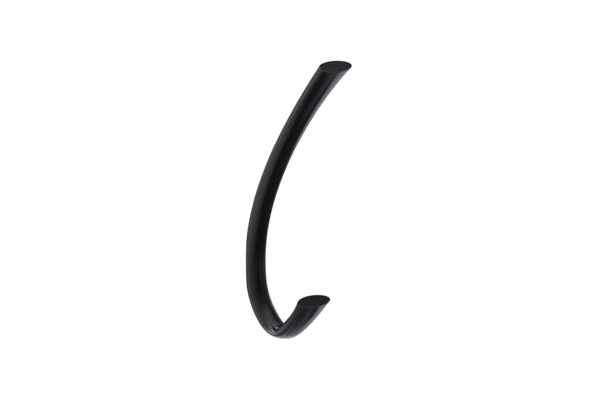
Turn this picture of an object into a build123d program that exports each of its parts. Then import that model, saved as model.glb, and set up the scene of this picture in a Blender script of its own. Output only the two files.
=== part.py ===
"""Curved coat hook, one die-cast bar.

The bar is bent in one upright plane. Its back stands against a wall, a long upper arm leans away from
the wall, and a short lower arm curls up in front of it. Both tips are cut off level.

Frame: +Z up, the wall is the plane Y = 0, the hook stands out towards -Y, and X runs along the wall.
Origin: on the wall plane, midway between the two screw holes. Units: millimetres.
"""
import os
from math import exp

from build123d import *

os.makedirs("parts", exist_ok=True)

# ---- centre line of the bar, seen from the side: tangent curves, each with a radius and an angle ---
STANDOFF = 1.0                              # centre line in front of the wall, level with the origin
BACK_R = 87.0                               # the curve that passes the wall
BACK_UP, BACK_DOWN = 13.0, 6.0              # degrees of it above and below the origin
SHOULDER_R, SHOULDER_ANGLE = 140.0, 10.0    # upper arm: each curve is flatter than the one below it
REACH_R, REACH_ANGLE = 245.0, 8.0
HEAD_R, HEAD_ANGLE = 405.0, 9.0
LOOP_R, LOOP_ANGLE = 26.8, 54.0             # sweep under the flat, round to the bottom
BEND_R, BEND_ANGLE = 10.8, 72.5             # tight bend at the bottom
ARM_R, ARM_ANGLE = 109.0, 16.0              # lower arm, nearly straight

# ---- oval section: the width runs along the wall, the thickness lies in the plane of the bends -----
WIDTH, THICKNESS = 11.1, 9.1                # all along the middle of the bar
TOP_WIDTH, TOP_THICKNESS = 16.8, 11.5       # at the upper tip
TIP_WIDTH, TIP_THICKNESS = 18.2, 11.5       # at the lower tip
FLARE = 4.2                                 # how late the bar widens: more keeps it slim for longer
BEND_THINNING = 4.0                         # taken off the thickness in the tight bend
BEND_SPREAD = 7.0                           # how far along the bar that thinning reaches
TIP_CHAMFER = 0.4                           # edges of the level tips

# ---- fixing: two blind tapped holes for M4 screws that come through the board from behind ----------
SCREW_SPACING = 20.0
TAP_R = 1.65                                # tapping size of M4
TAP_DEPTH = 4.4
TAP_CHAMFER = 0.4

# ---- how the bar is lofted -------------------------------------------------------------------------
OVERRUN = 12.0                              # bar beyond the end of its centre line, cut off again
UPPER_STEPS, LOWER_STEPS = 14, 26           # ovals above and below the origin

WALL = Plane(origin=(0, 0, 0), x_dir=(1, 0, 0), z_dir=(0, 1, 0))

with BuildLine(Plane.YZ) as upper_spine:
    back_up = JernArc((-STANDOFF, 0), (0, 1), BACK_R, BACK_UP)
    shoulder = JernArc(back_up @ 1, back_up % 1, SHOULDER_R, SHOULDER_ANGLE)
    reach = JernArc(shoulder @ 1, shoulder % 1, REACH_R, REACH_ANGLE)
    head = JernArc(reach @ 1, reach % 1, HEAD_R, HEAD_ANGLE)
    Line(head @ 1, head @ 1 + (head % 1) * OVERRUN)

with BuildLine(Plane.YZ) as lower_spine:
    back_down = JernArc((-STANDOFF, 0), (0, -1), BACK_R, -BACK_DOWN)
    loop = JernArc(back_down @ 1, back_down % 1, LOOP_R, -LOOP_ANGLE)
    bend = JernArc(loop @ 1, loop % 1, BEND_R, -BEND_ANGLE)
    arm = JernArc(bend @ 1, bend % 1, ARM_R, -ARM_ANGLE)
    Line(arm @ 1, arm @ 1 + (arm % 1) * OVERRUN)

upper_wire, lower_wire = upper_spine.wires()[0], lower_spine.wires()[0]
upper_length = upper_wire.length - OVERRUN
lower_length = lower_wire.length - OVERRUN
bend_middle = back_down.length + loop.length + bend.length / 2
top_end, tip_end = head @ 1, arm @ 1        # the level cuts pass through these points


def upper_oval(distance):
    """Width and thickness of the bar at a distance above the origin, measured along the bar."""
    flare = (distance / upper_length) ** FLARE
    return WIDTH + (TOP_WIDTH - WIDTH) * flare, THICKNESS + (TOP_THICKNESS - THICKNESS) * flare


def lower_oval(distance):
    """The same below the origin, where the bar is thinner through the tight bend."""
    flare = (distance / lower_length) ** FLARE
    thinning = BEND_THINNING * exp(-(((distance - bend_middle) / BEND_SPREAD) ** 2))
    width = WIDTH + (TIP_WIDTH - WIDTH) * flare
    return width, THICKNESS + (TIP_THICKNESS - THICKNESS) * flare - thinning


# from the upper tip to the lower tip: spine, distance along it, the oval there, and the way of travel
stations = [(upper_wire, upper_wire.length * step / UPPER_STEPS, upper_oval, -1)
            for step in range(UPPER_STEPS, 0, -1)]
stations += [(lower_wire, lower_wire.length * step / LOWER_STEPS, lower_oval, 1)
             for step in range(LOWER_STEPS + 1)]

with BuildPart() as hook:
    # the bar: ovals square to the centre line, lofted from tip to tip
    for spine, distance, oval, way in stations:
        width, thickness = oval(distance)
        centre = spine.position_at(distance, position_mode=PositionMode.LENGTH)
        along = spine.tangent_at(distance, position_mode=PositionMode.LENGTH) * way
        with BuildSketch(Plane(origin=centre, x_dir=(1, 0, 0), z_dir=along)):
            Ellipse(width / 2, thickness / 2)
    loft()

    # both tips, cut off level
    with Locations(top_end, tip_end):
        Box(4 * OVERRUN, 4 * OVERRUN, 2 * OVERRUN, align=(Align.CENTER, Align.CENTER, Align.MIN),
            mode=Mode.SUBTRACT)
    chamfer(hook.faces().filter_by(Plane.XY).edges(), TIP_CHAMFER)

    # the narrow flat that bears on the wall
    split(bisect_by=WALL, keep=Keep.BOTTOM)

    # the tapped holes in the flat
    with Locations(WALL):
        with Locations((0, SCREW_SPACING / 2), (0, -SCREW_SPACING / 2)):
            Hole(TAP_R, depth=TAP_DEPTH)
    mouths = hook.edges().filter_by(GeomType.CIRCLE).group_by(Axis.Y)[-1]
    chamfer(mouths, TAP_CHAMFER)

hook.part.label = "hook"
export_step(hook.part, "parts/hook.step")
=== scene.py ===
# %% [markdown]
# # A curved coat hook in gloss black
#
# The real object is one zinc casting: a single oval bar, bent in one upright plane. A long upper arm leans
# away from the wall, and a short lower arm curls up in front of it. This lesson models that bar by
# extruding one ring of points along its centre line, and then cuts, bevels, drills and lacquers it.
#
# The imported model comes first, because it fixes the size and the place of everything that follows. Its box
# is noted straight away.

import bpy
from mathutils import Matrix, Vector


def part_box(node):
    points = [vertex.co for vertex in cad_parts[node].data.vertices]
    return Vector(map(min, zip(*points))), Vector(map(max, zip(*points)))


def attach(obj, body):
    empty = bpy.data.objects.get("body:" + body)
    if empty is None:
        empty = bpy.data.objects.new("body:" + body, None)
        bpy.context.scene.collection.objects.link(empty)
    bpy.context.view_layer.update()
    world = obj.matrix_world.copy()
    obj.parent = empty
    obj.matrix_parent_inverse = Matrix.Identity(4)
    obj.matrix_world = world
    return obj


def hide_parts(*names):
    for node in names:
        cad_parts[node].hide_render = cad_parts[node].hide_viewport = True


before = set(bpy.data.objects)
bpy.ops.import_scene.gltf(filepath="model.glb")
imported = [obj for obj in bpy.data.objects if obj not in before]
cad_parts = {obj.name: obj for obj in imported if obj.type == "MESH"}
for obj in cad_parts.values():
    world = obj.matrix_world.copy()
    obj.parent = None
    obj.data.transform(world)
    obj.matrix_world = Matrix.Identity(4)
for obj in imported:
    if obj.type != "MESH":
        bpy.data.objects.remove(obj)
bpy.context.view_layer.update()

import math

import bmesh
import bpy
import numpy as np
from mathutils import Vector

MM = 0.001
hook_low, hook_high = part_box("hook")
print("packed hook, height in mm:", round((hook_high.z - hook_low.z) / MM, 1))

# %% [markdown]
# ## The centre line
#
# Seen from the side, the bar is a chain of tangent curves that all turn the same way, from a nearly straight
# lower arm, through a tight bend, to an upper arm that gets flatter and flatter. A chain like this is known
# by its radii and its turns alone. Polished black lacquer shows every sudden change of curvature as a kink
# in its reflections, so the turn is averaged over a short stretch of the bar, and each curve runs into the
# next as it does in the casting.

# %% Curves of the bar
CURVES = [                       # radius in mm and turn in degrees, from the lower tip to the upper tip
    (109.0, 16.0),               # lower arm
    (10.8, 72.5),                # tight bend at the bottom
    (26.8, 54.0),                # sweep under the flat
    (87.0, 19.0),                # past the wall
    (140.0, 10.0),               # upper arm, flatter and flatter
    (245.0, 8.0),
    (405.0, 9.0),
]
BELOW_ORIGIN = 6.0               # degrees of the curve past the wall that lie below the origin
STANDOFF = 1.0 * MM              # centre line in front of the wall, level with the origin
BLEND = 3.0 * MM                 # half the stretch over which the turn is averaged

lengths = [radius * math.radians(turn) * MM for radius, turn in CURVES]
LOWER_LENGTH = sum(lengths[:3]) + CURVES[3][0] * math.radians(BELOW_ORIGIN) * MM
UPPER_LENGTH = sum(lengths) - LOWER_LENGTH
joints_at = np.cumsum([-LOWER_LENGTH] + lengths)
LOWER_TURN = sum(turn for radius, turn in CURVES[:3]) + BELOW_ORIGIN
turned_at = np.cumsum([-LOWER_TURN] + [turn for radius, turn in CURVES])
print("bar below and above the origin, mm:", round(LOWER_LENGTH / MM, 1), round(UPPER_LENGTH / MM, 1))


def lean(place):
    """How far the bar leans from upright, in radians, at a place along it: + above the origin, - below."""
    stretch = place + np.linspace(-BLEND, BLEND, 41)
    return math.radians(np.interp(stretch, joints_at, turned_at).mean())


# %% [markdown]
# ## The oval section
#
# The bar is an oval, wider along the wall than it is thick. It stays slim for most of its length, and flares
# late towards both tips. In the tight bend it is thinner, which is where a cast hook is drawn in.

# %% Width and thickness along the bar
WIDTH, THICKNESS = 11.1 * MM, 9.1 * MM
TOP_WIDTH, TOP_THICKNESS = 16.8 * MM, 11.2 * MM
TIP_WIDTH, TIP_THICKNESS = 18.0 * MM, 11.4 * MM
FLARE = 4.2
BEND_THINNING, BEND_SPREAD = 4.0 * MM, 7.0 * MM
BEND_MIDDLE = -LOWER_LENGTH + lengths[0] + lengths[1] / 2


def oval(place):
    """Width and thickness of the bar at a place along it."""
    if place > 0:
        flare = (place / UPPER_LENGTH) ** FLARE
        return WIDTH + (TOP_WIDTH - WIDTH) * flare, THICKNESS + (TOP_THICKNESS - THICKNESS) * flare
    flare = (-place / LOWER_LENGTH) ** FLARE
    thinning = BEND_THINNING * math.exp(-(((place - BEND_MIDDLE) / BEND_SPREAD) ** 2))
    return WIDTH + (TIP_WIDTH - WIDTH) * flare, THICKNESS + (TIP_THICKNESS - THICKNESS) * flare - thinning


# %% [markdown]
# ## The bar
#
# A bar like this could be a bevelled curve, but a curve keeps one section, and this one changes in width and
# in thickness separately. So it is extruded by hand: a circle is scaled to the oval, and then each step
# extrudes the ring, moves it along the centre line, turns it and resizes it. Steps are short where the bar
# turns quickly. The bar is made a little too long at both ends, because the tips are cut off level later.

# %% Helpers for edit mode
def start_piece(name):
    """Names the new primitive, and enters edit mode."""
    piece = bpy.context.object
    piece.name = piece.data.name = name
    bpy.ops.object.mode_set(mode="EDIT")
    return piece


def pick(piece, kind, test):
    """Selects the vertices, edges or faces for which test(element) holds, and nothing else."""
    bpy.ops.mesh.select_all(action="DESELECT")
    bpy.ops.mesh.select_mode(type=kind)
    mesh = bmesh.from_edit_mesh(piece.data)
    found = [element for element in getattr(mesh, {"VERT": "verts", "EDGE": "edges", "FACE": "faces"}[kind])
             if test(element)]
    for element in found:
        element.select = True
    mesh.select_flush_mode()
    bmesh.update_edit_mesh(piece.data)
    return len(found)


# %% Extrude the bar
RING_POINTS = 72
OVERRUN = 12.0 * MM              # extra length at each end, cut off again
LONGEST_STEP, STEP_TURN = 2.0 * MM, math.radians(2.0)
SHORTER = 0.8                    # a step that turns too much is shortened by this until it doesn't

bpy.ops.object.select_all(action="DESELECT")
bpy.ops.mesh.primitive_circle_add(vertices=RING_POINTS, radius=1, location=(0, -STANDOFF, 0))
bar = start_piece("hook_bar")
bpy.ops.object.mode_set(mode="OBJECT")
bpy.ops.object.transform_apply(location=True, rotation=True, scale=True)
bpy.ops.object.mode_set(mode="EDIT")
centre_start = Vector((0, -STANDOFF, 0))
bpy.ops.mesh.select_all(action="SELECT")
bpy.ops.transform.resize(value=(WIDTH / 2, oval(0)[1] / 2, 1), center_override=centre_start)


def extrude_arm(way, length):
    """Extrudes the selected ring to the end of one arm, way being +1 up and -1 down."""
    place, centre, rings = 0.0, centre_start.copy(), 0
    while abs(place) < length + OVERRUN:
        step = LONGEST_STEP
        while abs(lean(place + way * step) - lean(place)) > STEP_TURN:
            step *= SHORTER
        middle = lean(place + way * step / 2)
        shift = Vector((0, -math.sin(middle), math.cos(middle))) * way * step
        turn = lean(place + way * step) - lean(place)
        width_now, thickness_now = oval(place)
        place += way * step
        width_next, thickness_next = oval(place)
        centre += shift
        bpy.ops.mesh.extrude_region_move(TRANSFORM_OT_translate={"value": shift})
        bpy.ops.transform.rotate(value=-turn, orient_axis="X", center_override=centre)
        thicker = thickness_next / thickness_now
        bpy.ops.transform.resize(value=(width_next / width_now, thicker, thicker), center_override=centre)
        rings += 1
    return rings


upper_rings = extrude_arm(+1, UPPER_LENGTH)
first_ring = pick(bar, "VERT", lambda v: abs(v.co.z) < 1e-6)
lower_rings = extrude_arm(-1, LOWER_LENGTH)
print("rings above and below the origin:", upper_rings, lower_rings, "points in the first:", first_ring)

# %% [markdown]
# ## Level tips and the flat at the back
#
# Both tips of the real hook are cut off level, and its back has a narrow flat that bears on the wall. Bisect
# cuts the selected faces by a plane, throws away what lies beyond it and closes the cut with one face.

# %% Cut the tips and the back
LOWER_TIP_AT = -4.7 * MM         # height of the lower tip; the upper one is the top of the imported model
ON_PLANE = 0.0001 * MM           # points this close to a cutting plane count as on it
SAME_POINT = 0.02 * MM           # after a cut, points closer than this are one point
FRONT_OF_BAR = -30.0 * MM        # the lower arm is the part further out than this, below the upper arm
UPPER_ARM_FROM = 30.0 * MM


def cut(piece, region, point, outwards):
    """Cuts the faces in a region by a plane and closes the cut."""
    pick(piece, "FACE", lambda face: region(face.calc_center_median()))
    bpy.ops.mesh.bisect(plane_co=point, plane_no=outwards, clear_outer=True, use_fill=True, threshold=ON_PLANE)


cut(bar, lambda c: c.z > UPPER_ARM_FROM, (0, 0, hook_high.z), (0, 0, 1))
cut(bar, lambda c: c.y < FRONT_OF_BAR and c.z < UPPER_ARM_FROM, (0, 0, LOWER_TIP_AT), (0, 0, 1))
cut(bar, lambda c: c.z < UPPER_ARM_FROM, (0, 0, 0), (0, 1, 0))
bpy.ops.mesh.select_all(action="SELECT")
bpy.ops.mesh.remove_doubles(threshold=SAME_POINT)
bpy.ops.mesh.normals_make_consistent(inside=False)
mesh = bmesh.from_edit_mesh(bar.data)
print("faces with more than four sides:", sum(len(face.verts) > 4 for face in mesh.faces))

# %% [markdown]
# ## Softened edges
#
# Paint never sits on a knife edge: it pulls back and leaves a small round, which catches a thin line of
# light. Only the edges round the cut faces are bevelled, wider at the tips, which a hand touches, than at
# the back.

# %% Bevel the rims
TIP_ROUND, BACK_ROUND = 0.45 * MM, 0.25 * MM
SHORT_EDGE = 0.01 * MM           # edges shorter than this are taken out after the bevels
CUT_SIDES = 20                   # a large cut face has more sides than this, and no other face has


def rim_of(face_test):
    """A test for the edges that border the large cut face."""
    return lambda edge: any(face_test(face) and len(face.verts) > CUT_SIDES for face in edge.link_faces)


tip_edges = pick(bar, "EDGE", rim_of(lambda face: face.normal.z > 0.99))
bpy.ops.mesh.bevel(offset=TIP_ROUND, segments=5, profile=0.5, affect="EDGES", clamp_overlap=True)
back_edges = pick(bar, "EDGE", rim_of(lambda face: face.normal.y > 0.99))
bpy.ops.mesh.bevel(offset=BACK_ROUND, segments=3, profile=0.5, affect="EDGES", clamp_overlap=True)
bpy.ops.mesh.select_all(action="SELECT")
bpy.ops.mesh.dissolve_degenerate(threshold=SHORT_EDGE)
print("edges bevelled at the tips and at the back:", tip_edges, back_edges)

# %% [markdown]
# ## Sunk ends
#
# The level ends are never quite flat. Zinc shrinks as it sets, and draws in the middle of a thick end by a
# tenth or two of a millimetre, which casters call a sink. An inset ring, and a middle that is set down by that
# much, give each end a soft second tone of reflection beside its rim.

# %% Dish the ends
DISH_RING, DISH_DEPTH = 2.0 * MM, 0.16 * MM
dished = pick(bar, "FACE", lambda face: face.normal.z > 0.99 and len(face.verts) > CUT_SIDES)
bpy.ops.mesh.inset(thickness=DISH_RING, depth=0, use_individual=True)
bpy.ops.transform.translate(value=(0, 0, -DISH_DEPTH))
bpy.ops.object.mode_set(mode="OBJECT")
print("ends dished:", dished)

# %% [markdown]
# ## Tapped holes
#
# The hook is held by two screws that come through the board from behind, so its flat has two blind holes,
# tapped M4. Each is cut by two tools, as in the workshop: a drill with a countersink, and a tap. The drill is
# a circle extruded and resized. The tap is one V of the thread, which the screw operator winds round the
# axis of the hole, with its two ends cut square and closed. Where two cuts meet, they leave doubled points,
# and these are merged at the end, so that no sliver without an area is left in the mesh.

# %% Sizes of the holes
HOLE_AT = 10.0 * MM              # height of the upper hole; the lower one is as far below the origin
DRILL_R, DRILL_DEPTH, COUNTERSINK = 1.65 * MM, 4.4 * MM, 0.4 * MM
THREAD_R, PITCH, THREAD_DEPTH, THREAD_TURNS = 2.0 * MM, 0.7 * MM, 3.6 * MM, 8
TAP_CORE_R = DRILL_R - 0.05 * MM   # radius of the tap between its threads
TAP_SEAM = 0.005 * MM            # points of neighbouring turns closer than this are one point
PROUD = 0.3 * MM                 # how far the tools stand out of the flat, so that they cut it cleanly
HOLE_POINTS = 32                 # points round the drill, and round each turn of the thread
SLIVER = 0.001 * MM              # where two cuts meet, points closer than this are one point


# %% The drill
def close_up(tool):
    """Turns the faces of a finished tool outwards and leaves edit mode."""
    bpy.ops.mesh.select_all(action="SELECT")
    bpy.ops.mesh.normals_make_consistent(inside=False)
    bpy.ops.object.mode_set(mode="OBJECT")
    return tool


def add_drill():
    """A closed drill with a countersink, on the axis of the upper hole."""
    radius, mouth = DRILL_R + COUNTERSINK + PROUD, Vector((0, PROUD, HOLE_AT))
    bpy.ops.object.select_all(action="DESELECT")
    bpy.ops.mesh.primitive_circle_add(vertices=HOLE_POINTS, radius=radius, fill_type="NGON",
                                      location=mouth, rotation=(math.radians(90), 0, 0))
    bpy.ops.object.transform_apply(location=True, rotation=True, scale=True)
    drill = start_piece("drill")
    bpy.ops.mesh.select_all(action="SELECT")
    for depth, next_radius in ((PROUD + COUNTERSINK, DRILL_R), (DRILL_DEPTH - COUNTERSINK, DRILL_R)):
        mouth.y -= depth
        bpy.ops.mesh.extrude_region_move(TRANSFORM_OT_translate={"value": (0, -depth, 0)})
        narrower = next_radius / radius
        bpy.ops.transform.resize(value=(narrower, 1, narrower), center_override=mouth)
        radius = next_radius
    return close_up(drill)


# %% The tap
def add_tap():
    """A closed threaded rod, a little thinner than the drill between its threads."""
    bpy.ops.object.select_all(action="DESELECT")
    bpy.ops.mesh.primitive_circle_add(vertices=3, radius=PITCH / math.sqrt(3))
    tap = start_piece("tap")
    bpy.ops.mesh.select_all(action="SELECT")
    bpy.ops.transform.rotate(value=math.radians(90), orient_axis="Z", center_override=(0, 0, 0))
    pick(tap, "EDGE", lambda edge: abs(edge.verts[0].co.x - edge.verts[1].co.x) < 0.1 * PITCH)
    bpy.ops.mesh.delete(type="EDGE")
    bpy.ops.mesh.select_all(action="SELECT")
    deeper = (THREAD_R - TAP_CORE_R) / (PITCH * math.sqrt(0.75))
    bpy.ops.transform.resize(value=(deeper, 1, 1), center_override=(0, 0, 0))
    outermost = max(point.co.x for point in bmesh.from_edit_mesh(tap.data).verts)
    bpy.ops.transform.translate(value=(THREAD_R - outermost, -THREAD_DEPTH - PITCH, HOLE_AT))
    bpy.ops.mesh.screw(steps=HOLE_POINTS, turns=THREAD_TURNS, center=(0, 0, HOLE_AT), axis=(0, 1, 0))
    bpy.ops.mesh.select_all(action="SELECT")
    bpy.ops.mesh.remove_doubles(threshold=TAP_SEAM)
    for end, outwards in ((PROUD, 1), (-THREAD_DEPTH, -1)):
        bpy.ops.mesh.select_all(action="SELECT")
        bpy.ops.mesh.bisect(plane_co=(0, end, 0), plane_no=(0, outwards, 0), clear_outer=True,
                            use_fill=True, threshold=ON_PLANE)
    return close_up(tap)


# %% Cut both holes
def cut_both_holes(piece, tool):
    """Copies the tool to the lower hole, and cuts the pair out of the piece in one go."""
    bpy.ops.object.mode_set(mode="EDIT")
    bpy.ops.mesh.select_all(action="SELECT")
    bpy.ops.mesh.duplicate_move(TRANSFORM_OT_translate={"value": (0, 0, -2 * HOLE_AT)})
    bpy.ops.object.mode_set(mode="OBJECT")
    modifier = piece.modifiers.new("cut", "BOOLEAN")
    modifier.operation, modifier.solver, modifier.object = "DIFFERENCE", "EXACT", tool
    bpy.ops.object.select_all(action="DESELECT")
    bpy.context.view_layer.objects.active = piece
    piece.select_set(True)
    bpy.ops.object.modifier_apply(modifier=modifier.name)
    bpy.data.objects.remove(tool)


cut_both_holes(bar, add_drill())
cut_both_holes(bar, add_tap())
bpy.ops.object.mode_set(mode="EDIT")
bpy.ops.mesh.select_all(action="SELECT")
bpy.ops.mesh.remove_doubles(threshold=SLIVER)
bpy.ops.mesh.dissolve_degenerate(threshold=SLIVER)
bpy.ops.object.mode_set(mode="OBJECT")
print("faces after drilling:", len(bar.data.polygons))

# %% [markdown]
# ## Smooth shading
#
# The bar is smooth, and its cut faces are flat. Shading by angle keeps the corners of the holes sharp, and
# weighted normals let the large faces win over the narrow ones of the bevels, so that neither the flats nor
# the bar look swollen beside them.

# %% Shade the bar
bpy.ops.object.select_all(action="DESELECT")
bpy.context.view_layer.objects.active = bar
bar.select_set(True)
CORNER = math.radians(35)        # sharper edges than this stay sharp
FAVOUR_LARGE_FACES = 60          # 50 is even, and more favours the large faces
bpy.ops.object.shade_smooth_by_angle(angle=CORNER)
weights = bar.modifiers.new("weights", "WEIGHTED_NORMAL")
weights.keep_sharp = True
weights.weight = FAVOUR_LARGE_FACES
bpy.ops.object.modifier_apply(modifier=weights.name)

check = bmesh.new()
check.from_mesh(bar.data)
print("open or shared edges:", sum(not edge.is_manifold for edge in check.edges),
      "volume in cubic mm:", round(check.calc_volume() / MM ** 3))
check.free()

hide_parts("hook")
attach(bar, "root")

# %% [markdown]
# ## Gloss black lacquer
#
# The real hook is a smooth zinc casting, dipped or sprayed black and baked. Baked lacquer flows into a glassy
# skin, so nearly all that is seen of it is reflection: a very dark base under a clear gloss. Three things keep
# it from looking like computed plastic. The skin has a faint orange peel, shallow ripples a few millimetres
# apart, which comes from the spray. Its gloss is not quite even, because it is handled. And the finest grain
# of the casting shows through as a very low, close ripple. All of it is made with noise on Object coordinates,
# in metres, so that the pattern stays on the bar from whatever side it is seen.

# %% Finish of the lacquer
HANDLED_SIZE = 14 * MM                               # size of the patches that are handled more or less
GLOSSIEST, DULLEST = 0.085, 0.13                     # roughness of the skin
DARKEST, PALEST = (0.0016, 0.0015, 0.0018, 1), (0.0028, 0.0026, 0.0032, 1)
PEEL_SIZE, PEEL_RELIEF = 3.2 * MM, 0.006 * MM        # orange peel of the spray
GRAIN_SIZE, GRAIN_RELIEF = 0.7 * MM, 0.0014 * MM     # grain of the casting

# %% Lacquer material
lacquer = bpy.data.materials.new("black_lacquer")
lacquer.use_nodes = True
nodes, links = lacquer.node_tree.nodes, lacquer.node_tree.links
gloss = nodes["Principled BSDF"]
gloss.inputs["IOR"].default_value = 1.5
where = nodes.new("ShaderNodeTexCoord")


def ripple(size, detail):
    """Noise on the bar whose bumps are about `size` across."""
    noise = nodes.new("ShaderNodeTexNoise")
    noise.inputs["Scale"].default_value = 1 / size
    noise.inputs["Detail"].default_value = detail
    noise.inputs["Roughness"].default_value = 0.5
    links.new(where.outputs["Object"], noise.inputs["Vector"])
    return noise.outputs["Fac"]


def between(value, low, high):
    """The noise value spread over the range from low to high."""
    spread = nodes.new("ShaderNodeMapRange")
    spread.inputs["From Min"].default_value = 0.3
    spread.inputs["From Max"].default_value = 0.7
    spread.inputs["To Min"].default_value = low
    spread.inputs["To Max"].default_value = high
    links.new(value, spread.inputs["Value"])
    return spread.outputs["Result"]


def bump(height, distance, normal=None):
    """A layer of relief; `distance` is its full height in metres."""
    layer = nodes.new("ShaderNodeBump")
    layer.inputs["Strength"].default_value = 1.0
    layer.inputs["Distance"].default_value = distance
    links.new(height, layer.inputs["Height"])
    if normal is not None:
        links.new(normal, layer.inputs["Normal"])
    return layer.outputs["Normal"]


handling = ripple(HANDLED_SIZE, 3)
peel = ripple(PEEL_SIZE, 1)
grain = ripple(GRAIN_SIZE, 2)
links.new(between(handling, GLOSSIEST, DULLEST), gloss.inputs["Roughness"])
links.new(bump(grain, GRAIN_RELIEF, bump(peel, PEEL_RELIEF)), gloss.inputs["Normal"])

depth = nodes.new("ShaderNodeMix")
depth.data_type = "RGBA"
depth.inputs["A"].default_value, depth.inputs["B"].default_value = DARKEST, PALEST
links.new(between(handling, 0, 1), depth.inputs["Factor"])
links.new(depth.outputs["Result"], gloss.inputs["Base Color"])

bar.data.materials.clear()
bar.data.materials.append(lacquer)
print("nodes in the lacquer:", len(nodes))

# %% [markdown]
# ## Floor
#
# Small hardware is shown on a seamless white sheet that runs out of sight in every direction. A wide pale disc
# does the same. It lies well below the hook, so that no contact shadow falls on it. A gloss black bar would
# mirror such a floor and turn grey all over, so in a studio the sheet is kept out of the reflection with black
# card. Here the floor is simply left out of what glossy surfaces see.

# %% Floor
FLOOR_RADIUS, FLOOR_AT = 12, -0.30   # metres
bpy.ops.object.select_all(action="DESELECT")
bpy.ops.mesh.primitive_circle_add(vertices=96, radius=FLOOR_RADIUS, fill_type="NGON", location=(0, 0, FLOOR_AT))
floor = bpy.context.object
floor.name = "floor"
floor_paint = bpy.data.materials.new("floor_paint")
floor_paint.use_nodes = True
matt = floor_paint.node_tree.nodes["Principled BSDF"]
matt.inputs["Base Color"].default_value = (0.85, 0.85, 0.85, 1)
matt.inputs["Roughness"].default_value = 0.9
floor.data.materials.append(floor_paint)
floor.visible_glossy = False

# %% [markdown]
# ## Studio light
#
# Gloss black shows its lamps and little else, so the light is laid out like a studio's light tent, in the
# world round the hook. Each light is a soft-edged patch of that world, described by where it stands: its
# azimuth, in degrees from +Y towards +X, and its height over the horizon. A glossy ray sees this tent. The
# camera and the matt floor see plain white, so that the picture keeps a clean background.

# %% Where a ray looks
world = bpy.data.worlds.new("studio")
bpy.context.scene.world = world
world.use_nodes = True
sky_nodes, sky_links = world.node_tree.nodes, world.node_tree.links
looking = sky_nodes.new("ShaderNodeTexCoord").outputs["Generated"]


def math_of(operation, first, second):
    """A Math node; each of the two may be a number or the output of another node."""
    node = sky_nodes.new("ShaderNodeMath")
    node.operation = operation
    for socket, value in zip(node.inputs, (first, second)):
        if isinstance(value, (int, float)):
            socket.default_value = value
        else:
            sky_links.new(value, socket)
    return node.outputs["Value"]


parts_of_looking = sky_nodes.new("ShaderNodeSeparateXYZ")
sky_links.new(looking, parts_of_looking.inputs["Vector"])
x, y, z = (parts_of_looking.outputs[axis] for axis in "XYZ")
azimuth = math_of("MULTIPLY", math_of("ARCTAN2", x, y), math.degrees(1))
height = math_of("MULTIPLY", math_of("ARCSINE", z, 0), math.degrees(1))


# %% Edges and patches
def fade(value, start, end, at_start=0.0, at_end=1.0, shape="SMOOTHSTEP"):
    """Goes softly from at_start to at_end while the value goes from start to end, and stays flat outside."""
    ramp = sky_nodes.new("ShaderNodeMapRange")
    ramp.interpolation_type = shape
    for name, number in (("From Min", start), ("From Max", end), ("To Min", at_start), ("To Max", at_end)):
        ramp.inputs[name].default_value = number
    sky_links.new(value, ramp.inputs["Value"])
    return ramp.outputs["Result"]


def product(*factors):
    """A light shaped by several fades."""
    result = factors[0]
    for factor in factors[1:]:
        result = math_of("MULTIPLY", result, factor)
    return result


def facing(patch_azimuth, patch_height):
    """How squarely a ray looks at one place in the tent: 1 straight at it, 0 at a right angle."""
    a, h = math.radians(patch_azimuth), math.radians(patch_height)
    dot = sky_nodes.new("ShaderNodeVectorMath")
    dot.operation = "DOT_PRODUCT"
    dot.inputs[1].default_value = (math.sin(a) * math.cos(h), math.cos(a) * math.cos(h), math.sin(h))
    sky_links.new(looking, dot.inputs[0])
    return dot.outputs["Value"]


def disc(disc_azimuth, disc_height, inner, outer, outside, inside):
    """A round place in the tent: one value inside the inner angle, another outside the outer one."""
    return fade(facing(disc_azimuth, disc_height), math.cos(math.radians(outer)),
                math.cos(math.radians(inner)), outside, inside)


# %% [markdown]
# ## The large lights
#
# They are, in this order: the dim tent itself, darker below the hook; a white ceiling; a haze of it that comes
# down behind the hook; two black flags in front of these, a wide one that keeps the level ends dark and a
# narrow one that draws a dark line inside the loop; a strong soft lamp, low on the left and behind, which makes
# the long bright gradient on the bar; a grey wall that carries that gradient on round to the front, and whose
# lower edge draws the border of the dark core; and a faint sheet straight below. Where two lights overlap, the
# brighter one is seen.

# %% Large lights of the tent
tent = fade(height, -38, -20, 0.08, 0.23)
ceiling = fade(height, 20, 115, 0, 3.1)
haze = product(fade(azimuth, -190, -35), fade(azimuth, 60, -30), fade(height, 2, 58, 0, 2.35))
wide_flag = disc(39, 40, 5, 25, outside=1, inside=0.3)
narrow_flag = disc(100, 31, 4, 9, outside=1, inside=0.2)
lamp = product(fade(azimuth, -71, -42), fade(azimuth, 17, -93), fade(height, -40, 30),
               fade(height, 0, 50, 11.4, 3.7, shape="LINEAR"))
squareness = math_of("MAXIMUM", facing(-118, 0), 0.001)
wall = product(fade(azimuth, -165, -25, 0.1, 1.35, shape="LINEAR"), fade(azimuth, 5, -28),
               fade(height, 40, 20), fade(math_of("DIVIDE", z, squareness), -2.3, -0.86))
glow = product(math_of("MAXIMUM", math_of("MAXIMUM", tent, haze), ceiling), wide_flag, narrow_flag)
sheet = fade(height, -76, -84, 0, 0.2)
for light in (lamp, wall, sheet):
    glow = math_of("MAXIMUM", glow, light)

# %% [markdown]
# ## The round lights
#
# The white table behind and below is five round patches, which light the undersides and the rims. The second
# has a narrow edge, and the bar mirrors it as the crisp line where the underside of the upper arm turns from
# black to pale grey. A strip light on the right is what the loop mirrors beside its dark line. A window behind
# the hook, in two patches, is mirrored only by the hollow of the bend.

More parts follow.
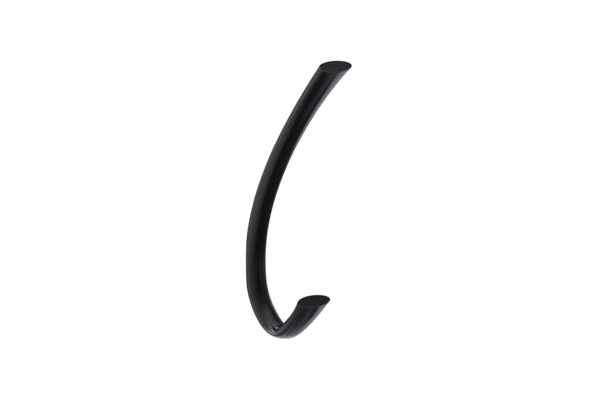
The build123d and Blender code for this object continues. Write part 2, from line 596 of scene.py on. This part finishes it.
# %% Round lights
ROUND_LIGHTS = [                 # azimuth, height, full inside this angle, nothing outside this one, strength
    (38, -26, 6, 30, 0.7),       # the table, on the right
    (58, -53, 12, 16, 0.75),     # the table, with the narrow edge that draws the crisp line
    (10, -57, 0, 36, 1.1),       # the table, behind
    (-38, -35, 0, 18, 0.3),      # the table, on the left
    (78, -82, 0, 13, 0.3),       # the table, straight below
    (80, 4, 10, 18, 1.0),        # strip light
    (6, 42, 12, 27, 5.0),        # window, upper half
    (10, 20, 10, 24, 3.0),       # window, lower half
]
for light_azimuth, light_height, inner, outer, strength in ROUND_LIGHTS:
    glow = math_of("MAXIMUM", glow, disc(light_azimuth, light_height, inner, outer, 0, strength))
print("nodes in the studio:", len(sky_nodes))

# %% White for the camera, the tent for the gloss
LIGHT_COLOUR = (0.98, 0.965, 1.07)   # a trace of lavender, which black lacquer shows in its greys
studio = sky_nodes["Background"]
studio.inputs["Color"].default_value = (*LIGHT_COLOUR, 1)
sky_links.new(glow, studio.inputs["Strength"])
plain_white = sky_nodes.new("ShaderNodeBackground")
plain_white.inputs["Strength"].default_value = 1.6
rays = sky_nodes.new("ShaderNodeLightPath")
choice = sky_nodes.new("ShaderNodeMixShader")
sky_links.new(rays.outputs["Is Glossy Ray"], choice.inputs["Fac"])
sky_links.new(plain_white.outputs["Background"], choice.inputs[1])
sky_links.new(studio.outputs["Background"], choice.inputs[2])
sky_links.new(choice.outputs["Shader"], sky_nodes["World Output"].inputs["Surface"])
bpy.context.scene.view_settings.view_transform = "Standard"

# %% [markdown]
# ## A card under the bend
#
# The underside of the bend lies closest to the table, and sees little but the table. A small lit card under it
# fills it with light. A card that stands this near is mirrored by the bend and hardly at all by the arms.

# %% Card under the bend
bpy.ops.object.select_all(action="DESELECT")
CARD_WIDTH, CARD_DEPTH, CARD_AT = 0.088, 0.092, (-0.006, 0.0385, -0.100)
CARD_STRENGTH = 0.75                 # on the same scale as the lights of the tent
bpy.ops.object.light_add(type="AREA", location=CARD_AT, rotation=(math.pi, 0, 0))
card = bpy.context.object
card.name = "card"
card.data.shape = "RECTANGLE"
card.data.size, card.data.size_y = CARD_WIDTH, CARD_DEPTH
card.data.color = LIGHT_COLOUR
card.data.energy = CARD_STRENGTH * math.pi * CARD_WIDTH * CARD_DEPTH
card.visible_camera = False
card.visible_diffuse = False

# %% [markdown]
# ## Camera
#
# The camera stands well back with a long lens, as for a catalogue, so that the two arms keep their true
# proportion. It looks from the front left and a little from above, which shows the level tips as ovals and the
# whole curve of the bar beside them.

# %% Camera
CAMERA_DISTANCE, LENS, SENSOR = 2.103, 257.5, 36     # metres and millimetres
target = Vector((-0.00019, -0.03675, 0.0463))
towards_camera = Vector((-0.5749, -0.7134, 0.4008)).normalized()
bpy.ops.object.camera_add(location=target + towards_camera * CAMERA_DISTANCE)
camera = bpy.context.object
camera.rotation_euler = towards_camera.to_track_quat("Z", "Y").to_euler()
camera.data.lens = LENS
camera.data.sensor_width = SENSOR
bpy.context.scene.camera = camera
print("camera at:", [round(value, 3) for value in camera.location])
